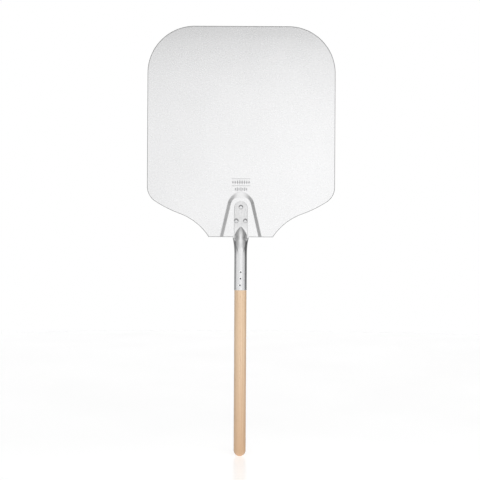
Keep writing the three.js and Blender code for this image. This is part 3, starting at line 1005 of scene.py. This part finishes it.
def set_ramp(ramp: bpy.types.ShaderNodeValToRGB, stops: Stops) -> float:
    """Sets a colour ramp to greys that ease between stops.

    Args:
        ramp: The ramp's node, as new.
        stops: Pairs of (share of the ramp, light), in order.

    Returns:
        The brightest light, which the ramp's output has to be multiplied by.
    """
    peak = max(light for _, light in stops)
    ramp.color_ramp.interpolation = "CARDINAL"
    elements = ramp.color_ramp.elements
    for _ in stops[2:]:
        elements.new(0.5)
    for element, (share, light) in zip(elements, stops):
        element.position = share
        element.color = (light / peak, light / peak, light / peak, 1.0)
    return peak


@dataclass
class Sky:
    """The light round the object: a bright front that fades to the sides, and soft boxes overhead.

    Each curve is a row of (degrees, light). `around` runs from the left, through the front at 0, to
    the right; the others run from the floor, through the horizon at 0, to straight up. A direction's
    light is around times band, plus overhead where it looks forward, plus behind times its own band.
    The last three fields are ramps (from, to, start, end) on a direction's unit vector: `forward` on
    Y, `middle` on how far X is from 0, and `high_sides` on Z, which dims light from high up at the
    sides.
    """

    around: Stops = (
        (-180.0, 0.10), (-135.0, 0.14), (-110.0, 0.28), (-90.0, 0.60), (-70.0, 0.86), (-45.0, 0.90),
        (0.0, 0.90), (45.0, 0.86), (60.0, 0.82), (77.0, 0.64), (98.0, 0.14), (180.0, 0.10),
    )
    band: Stops = (
        (-90.0, 0.60), (-20.0, 0.90), (0.0, 1.00), (6.0, 0.90), (11.0, 0.40), (22.0, 0.45), (29.0, 0.85),
        (56.0, 0.85), (63.0, 0.60), (69.0, 0.20), (76.0, 0.05), (90.0, 0.04),
    )
    overhead: Stops = (
        (-90.0, 0.0), (26.0, 0.0), (40.0, 0.20), (50.0, 0.28), (61.0, 0.20), (70.0, 0.0), (90.0, 0.0),
    )
    behind: Stops = (
        (-180.0, 0.80), (-165.0, 0.75), (-150.0, 0.30), (-135.0, 0.14), (-120.0, 0.0),
        (120.0, 0.0), (135.0, 0.14), (150.0, 0.30), (165.0, 0.75), (180.0, 0.80),
    )
    behind_band: Stops = (
        (-90.0, 0.3), (-30.0, 0.6), (0.0, 0.6), (8.0, 1.0), (24.0, 1.0), (50.0, 0.2), (90.0, 0.1),
    )
    forward: Ramp = (-0.10, 0.15, 1.0, 0.0)
    middle: Ramp = (0.18, 0.62, 1.0, 0.1)
    high_sides: Ramp = (0.25, 0.60, 0.0, 0.50)

    def build(self) -> None:
        """Makes the world: white to the camera, and the curves' light to everything else."""
        world = bpy.data.worlds.new("studio")
        bpy.context.scene.world = world
        world.use_nodes = True
        self.tree = world.node_tree
        self.tree.nodes.clear()
        split = self._node("SeparateXYZ", self._node("TexCoord").outputs["Generated"])
        x, y, z = split.outputs
        turn = self._math("ARCTAN2", x, self._math("MULTIPLY", y, -1.0))
        rise = self._math("ARCSINE", z)
        front = self._math("MULTIPLY", self._curve(turn, self.around), self._curve(rise, self.band))
        back = self._math("MULTIPLY", self._curve(turn, self.behind), self._curve(rise, self.behind_band))
        ahead = self._node("MapRange", y, *self.forward).outputs[0]
        middle = self._node("MapRange", self._math("ABSOLUTE", x), *self.middle).outputs[0]
        box = self._math("MULTIPLY", ahead, middle)
        above = self._math("MULTIPLY", box, self._curve(rise, self.overhead))
        high = self._node("MapRange", z, *self.high_sides).outputs[0]
        dimmed = self._math("MULTIPLY", high, self._math("SUBTRACT", 1.0, middle))
        front = self._math("MULTIPLY", front, self._math("SUBTRACT", 1.0, dimmed))
        total = self._math("ADD", self._math("ADD", front, back), above)
        light, white = self._node("Background"), self._node("Background")
        self.tree.links.new(total, light.inputs["Strength"])
        light.inputs["Color"].default_value = white.inputs["Color"].default_value = (1.0, 1.0, 1.0, 1.0)
        mix = self._node("MixShader", self._node("LightPath").outputs["Is Camera Ray"])
        self.tree.links.new(light.outputs[0], mix.inputs[1])
        self.tree.links.new(white.outputs[0], mix.inputs[2])
        self._node("OutputWorld", mix.outputs[0])

    def _node(self, kind: str, *sources):
        """Adds a node and joins the sources to its first inputs."""
        node = self.tree.nodes.new("ShaderNode" + kind)
        for socket, source in zip(node.inputs, sources):
            if isinstance(source, (int, float)):
                socket.default_value = source
            else:
                self.tree.links.new(source, socket)
        return node

    def _math(self, operation: str, *sources):
        """The result of one sum."""
        node = self._node("Math", *sources)
        node.operation = operation
        return node.outputs[0]

    def _curve(self, angle, stops: Stops):
        """The light at an angle in radians, eased between a curve's stops."""
        first, last = stops[0][0], stops[-1][0]
        shares = tuple(((degrees - first) / (last - first), light) for degrees, light in stops)
        spread = self._node("MapRange", angle, math.radians(first), math.radians(last), 0.0, 1.0)
        ramp = self._node("ValToRGB", spread.outputs[0])
        return self._math("MULTIPLY", ramp.outputs[0], set_ramp(ramp, shares))


@dataclass
class Studio:
    """A white floor, a camera in front of the food side and the lights near it, in metres."""

    distance: float = 2.6
    lens_height: float = 0.4636
    lens_x: float = -0.0015
    view_width: float = 1.0302
    roll: float = 0.30
    sensor: float = 36.0
    floor_radius: float = 3.6
    fill_size: float = 0.8
    fill_place: tuple[float, float, float] = (0.4, -1.2, 0.4)
    fill_turn: float = 18.0
    fill_power: float = 4.6
    box_distance: float = 1.35
    box_half_width: float = 1.2
    box_bottom: float = 0.02
    box_top: float = 1.19
    box_light: Stops = (
        (0.0, 0.86), (0.2, 0.93), (0.38, 0.95), (0.5, 1.03), (0.62, 1.10), (0.8, 0.96), (1.0, 0.82),
    )

    def floor(self, finish: PaleFloor) -> bpy.types.Object:
        """Builds the round white floor that the butt stands on."""
        rings = np.array([[self.floor_radius * share / MM, 0.0] for share in (0.25, 0.5, 1.0)])
        skin = Skin("floor")
        points = turned(rings, 96)
        skin.add_grid(points, ring=True)
        skin.add_fan(points[0], np.zeros(3))
        floor = skin.build(smooth=False)
        floor.data.materials.append(finish.material())
        return floor

    def camera(self) -> bpy.types.Object:
        """Sets the camera level in front of the peel, turned a little about its own line of sight."""
        data = bpy.data.cameras.new("front_camera")
        data.sensor_width = self.sensor
        data.lens = self.sensor * self.distance / self.view_width
        camera = bpy.data.objects.new("front_camera", data)
        camera.location = (self.lens_x, -self.distance, self.lens_height)
        camera.rotation_euler = (math.pi / 2.0, math.radians(-self.roll), 0.0)
        bpy.context.scene.collection.objects.link(camera)
        bpy.context.scene.camera = camera
        return camera

    def fill(self) -> bpy.types.Object:
        """Hangs a soft light in front, kept out of the reflections in the metal."""
        data = bpy.data.lights.new("front_fill", "AREA")
        data.shape, data.size = "SQUARE", self.fill_size
        data.energy = self.fill_power
        fill = bpy.data.objects.new("front_fill", data)
        fill.location = self.fill_place
        fill.rotation_euler = (math.radians(90.0), 0.0, math.radians(self.fill_turn))
        fill.visible_glossy = False
        bpy.context.scene.collection.objects.link(fill)
        return fill

    def front_box(self) -> bpy.types.Object:
        """Stands a tall soft box in front, brightest right of its middle, that the camera looks through."""
        half, y = self.box_half_width, -self.box_distance
        low, high = self.box_bottom, self.box_top
        corners = np.array([[-half, y, low], [half, y, low], [half, y, high], [-half, y, high]])
        skin = Skin("front_box")
        skin.add(corners / MM, np.array([[0, 3, 2, 1]]))
        box = skin.build(smooth=False)
        box.visible_camera = False
        box.data.materials.append(self._box_glow())
        return box

    def _box_glow(self) -> bpy.types.Material:
        """The soft box's light, eased between its stops from left to right."""
        material = bpy.data.materials.new("front_box_glow")
        material.use_nodes = True
        tree = material.node_tree
        tree.nodes.clear()
        split = tree.nodes.new("ShaderNodeSeparateXYZ")
        tree.links.new(tree.nodes.new("ShaderNodeTexCoord").outputs["Object"], split.inputs[0])
        spread = tree.nodes.new("ShaderNodeMapRange")
        tree.links.new(split.outputs[0], spread.inputs[0])
        spread.inputs["From Min"].default_value = -self.box_half_width
        spread.inputs["From Max"].default_value = self.box_half_width
        ramp = tree.nodes.new("ShaderNodeValToRGB")
        tree.links.new(spread.outputs[0], ramp.inputs[0])
        glow = tree.nodes.new("ShaderNodeEmission")
        tree.links.new(ramp.outputs[0], glow.inputs["Color"])
        glow.inputs["Strength"].default_value = set_ramp(ramp, self.box_light)
        tree.links.new(glow.outputs[0], tree.nodes.new("ShaderNodeOutputMaterial").inputs["Surface"])
        return material

    def exposure(self) -> None:
        """Shows the light as it is, with no film curve."""
        bpy.context.scene.view_settings.view_transform = "Standard"
        bpy.context.scene.view_settings.look = "None"


def main() -> None:
    """Builds the studio and every piece of the peel, in order."""
    logging.basicConfig(level=logging.INFO, format="%(name)s: %(message)s")
    studio = Studio()
    studio.camera()
    studio.exposure()
    Sky().build()
    studio.fill()
    studio.front_box()
    studio.floor(PaleFloor())

    # The rim tones below are painted shade along cut edges and round the rivets' seats.
    sheet = BrushedMetal("satin_sheet", (0.90, 0.90, 0.905), 0.27, Grain.ACROSS, painted_rim_shade=0.16)
    tube = BrushedMetal(
        "drawn_tube", (0.84, 0.84, 0.845), 0.22, Grain.ALONG,
        mottle=0.05, mottle_below=400.0, painted_rim_shade=0.42, dull_above=492.0,
    )
    bright = BrushedMetal(
        "bright_rivet", (0.74, 0.74, 0.75), 0.09, Grain.ALONG, grain_depth=0.001, painted_rim_shade=0.12,
    )
    etched = BrushedMetal("etched_metal", (0.54, 0.54, 0.55), 0.55, Grain.ACROSS)
    steel = BrushedMetal("dull_steel", (0.06, 0.06, 0.065), 0.35, Grain.ALONG, grain_depth=0.001)

    blade = Blade()
    blade.build(sheet.material())
    MakersMark().build(blade, etched.material())
    Socket().build(tube.material())
    rivet_material, pin_material = bright.material(), steel.material()
    for node in RIVET_NODES:
        Rivet(node).build(rivet_material)
    for node in PIN_NODES:
        DrivePin(node).build(pin_material)
    Handle().build(Beech("sanded_beech").material())


if __name__ == "__main__":
    main()
